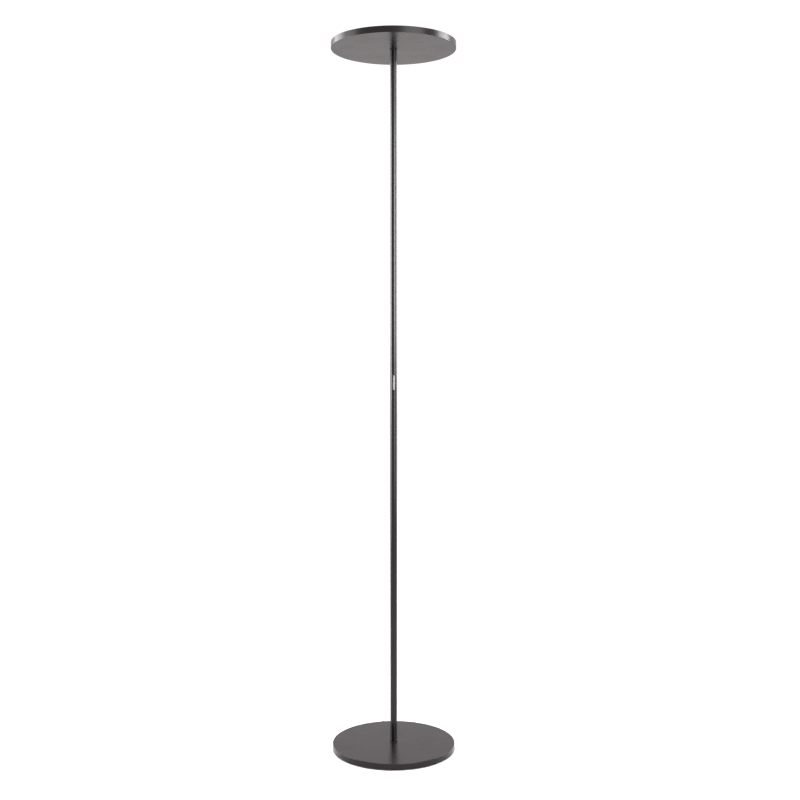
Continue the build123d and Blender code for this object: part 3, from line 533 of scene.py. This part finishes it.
def bezel():
    """The frame round the key. Corners are (half width, half length, depth, round), in millimetres."""
    opening, rim, neck = (2.8, 19.3), (5.0, 24.0), (3.5, 21.7)
    front, seat, back = 9.4, 9.02, 5.9
    outline = rounded([
        (*opening, back, 0.1), (*opening, front, 0.15), (*rim, front, 0.22), (*rim, seat, 0.05),
        (*neck, seat, 0.05), (*neck, back, 0.15),
    ], 4)
    bm = bmesh.new()
    add_swept(bm, [point * MM for point in outline], obround_ring(KEY_SEGMENTS))
    stand_for(finish_mesh("bezel_frame", bm), "key_bezel", MATERIALS["pole_paint"])


def key():
    """The push key, the flange behind it and the pip on its back. Corners are as the bezel's."""
    cap, flange = (2.5, 19.0), (3.3, 20.7)
    front, edge, flange_front, flange_back = 9.8, 9.74, 5.8, 4.7
    cap_straight, flange_straight = cap[1] - cap[0], flange[1] - flange[0]
    core_w = 1.2
    outline = [Vector((0, cap_straight, front))] + rounded([
        (core_w, cap_straight + core_w, front, 0), (*cap, edge, 0.3), (*cap, flange_front, 0.1),
        (*flange, flange_front, 0.15), (*flange, flange_back, 0.15),
        (core_w, flange_straight + core_w, flange_back, 0),
    ], 5) + [Vector((0, flange_straight, flange_back))]
    bm = bmesh.new()
    add_swept(bm, [point * MM for point in outline], obround_ring(KEY_SEGMENTS), closed=False)
    pip_r, pip_front, pip_back, pip_bevel = 1.5, 5.0, 3.9, 0.1
    pip = [
        Vector((0, pip_front)), Vector((pip_r, pip_front)), Vector((pip_r, pip_back + pip_bevel)),
        Vector((pip_r - pip_bevel, pip_back)), Vector((0, pip_back)),
    ]
    place = Matrix.Translation((0, 0, KEY_Z)) @ Matrix.Rotation(pi / 2, 4, "X")
    add_swept(bm, [point * MM for point in pip], circle_ring(PIP_SEGMENTS, place), closed=False)
    stand_for(finish_mesh("key_cap", bm), "dimmer_key", MATERIALS["key_plastic"], KEY_BODY)


# ================================ head ================================

def head_shell():
    """The pressed pan, open at the top."""
    low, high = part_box("head_pan")
    shell = lathe("head_shell", rounded([
        (STUD_HOLE_R, low.z, 0.2 * MM),
        (DISC_R, low.z, 0.8 * MM),
        (DISC_R, high.z, 0.4 * MM),
        (DISC_R - PAN_T, high.z, 0.4 * MM),
        (DISC_R - PAN_T, low.z + PAN_T, 0.5 * MM),
        (STUD_HOLE_R, low.z + PAN_T, 0.2 * MM),
    ]))
    stand_for(shell, "head_pan", MATERIALS["lamp_body_paint"])


def diffuser():
    """The opal disc, flush in the pan's rim."""
    low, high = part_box("diffuser")
    r = DISC_R - PAN_T - DIFFUSER_GAP
    disc = lathe("opal_disc", rounded([
        (0, high.z, 0), (r, high.z, 0.3 * MM), (r, low.z, 0.3 * MM), (0, low.z, 0),
    ]))
    stand_for(disc, "diffuser", MATERIALS["opal"])


def retaining_band():
    """The narrow ring that holds the diffuser down."""
    low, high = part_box("diffuser_ring")
    outer = DISC_R - PAN_T - RING_GAP
    inner = DISC_R - PAN_T - RING_INSET
    band = lathe("retaining_band", rounded([
        (inner, high.z, 0.4 * MM), (outer, high.z, 0.2 * MM),
        (outer, low.z, 0.1 * MM), (inner, low.z, 0.1 * MM),
    ]))
    stand_for(band, "diffuser_ring", MATERIALS["lamp_body_paint"])


finish_cad_nodes()
base_shell()
foot_pads()
gland_bush()
gasket("foot_seal", "foot_gasket")
gasket("head_seal", "head_gasket")
tubes()
bezel()
key()
head_shell()
diffuser()
retaining_band()


# ================================ studio ================================

FLOOR_R = 14.0
FLOOR_SEGMENTS = 96
VIEW_TURN = -5.4
EYE_AT = (0.0163, -2.843, 1.0465)
EYE_DIP = 2.897
LENS_MM = 50.2
SENSOR_MM = 36.0
CLIP_FAR = 60


def studio_floor():
    """A wide pale matt floor."""
    n = Nodes("studio_floor")
    cloud = n.noise(3, 4)
    n.colour(n.ramp(cloud, [(0.3, (0.93, 0.93, 0.93)), (0.7, (0.95, 0.95, 0.95))]))
    n.roughness(n.spread(n.noise(40, 3), 0.8, 0.9))
    n.bump(n.noise(900, 2), 0.05, 0.05)
    n.set(Specular_IOR_Level=0.0)
    bm = bmesh.new()
    bmesh.ops.create_circle(bm, cap_ends=True, segments=FLOOR_SEGMENTS, radius=FLOOR_R)
    mesh = bpy.data.meshes.new("studio_floor")
    bm.to_mesh(mesh)
    bm.free()
    floor = bpy.data.objects.new("studio_floor", mesh)
    bpy.context.scene.collection.objects.link(floor)
    mesh.materials.append(n.material)


def area_light(name, width, height, radiance):
    """A rectangular light of an even brightness, not seen by the camera itself."""
    light = bpy.data.lights.new(name, "AREA")
    light.shape = "RECTANGLE"
    light.size = width
    light.size_y = height
    light.energy = radiance * pi * width * height
    lamp = bpy.data.objects.new(name, light)
    lamp.visible_camera = False
    bpy.context.scene.collection.objects.link(lamp)
    return lamp


def softbox(name, azimuth, distance, width, heights, radiances):
    """An upright soft light for the gloss alone, in three parts. Azimuth is in degrees about the pole, from
    the camera's side towards +X."""
    turn = radians(azimuth + VIEW_TURN)
    for part, bottom, top, radiance in zip(("foot", "middle", "top"), heights, heights[1:], radiances):
        lamp = area_light(name + "_" + part, width, top - bottom, radiance)
        lamp.location = (distance * sin(turn), -distance * cos(turn), (bottom + top) / 2)
        lamp.rotation_euler = (pi / 2, 0, turn)
        lamp.visible_diffuse = False


SURROUND = (1.14, 1.08, 1.09)
OVERHEAD_SIZE = 1.8
OVERHEAD_Z = 3.0
OVERHEAD_RADIANCE = 10.0
SOFTBOXES = [
    # name, azimuth, distance, width, the heights between which its foot, middle and top lie, and the
    # radiance of each of the three
    ("right_side", 101, 2.6, 1.4, (0.2, 0.9, 2.45, 3.2), (5.0, 21.0, 10.0)),
    ("left_back", -116, 2.6, 1.5, (0.4, 1.0, 2.40, 3.2), (3.0, 12.0, 6.0)),
    ("left_side", -82, 2.6, 1.3, (0.1, 0.7, 2.20, 2.9), (7.0, 19.0, 2.5)),
    ("front_right", 36, 3.0, 2.0, (0.3, 1.0, 2.15, 2.9), (4.5, 18.0, 5.0)),
]


def studio():
    """An even white surround, four upright softboxes that fade towards their ends, and one soft light
    overhead."""
    studio_floor()
    world = bpy.data.worlds.new("studio")
    bpy.context.scene.world = world
    world.use_nodes = True
    backdrop = next(n for n in world.node_tree.nodes if n.type == "BACKGROUND")
    backdrop.inputs["Color"].default_value = (*SURROUND, 1)
    backdrop.inputs["Strength"].default_value = 1.0
    for row in SOFTBOXES:
        softbox(*row)
    overhead = area_light("overhead", OVERHEAD_SIZE, OVERHEAD_SIZE, OVERHEAD_RADIANCE)
    overhead.location = (0, 0, OVERHEAD_Z)


def camera():
    """An eye at half the lamp's height, turned a little to one side of the key and dipped a few degrees."""
    eye = bpy.data.cameras.new("view")
    eye.lens = LENS_MM
    eye.sensor_width = SENSOR_MM
    eye.clip_end = CLIP_FAR
    camera_object = bpy.data.objects.new("view", eye)
    turn = Matrix.Rotation(radians(VIEW_TURN), 3, "Z")
    camera_object.location = turn @ Vector(EYE_AT)
    camera_object.rotation_euler = (radians(90 - EYE_DIP), 0, radians(VIEW_TURN))
    bpy.context.scene.collection.objects.link(camera_object)
    bpy.context.scene.camera = camera_object


studio()
camera()
bpy.context.scene.view_settings.view_transform = "Standard"
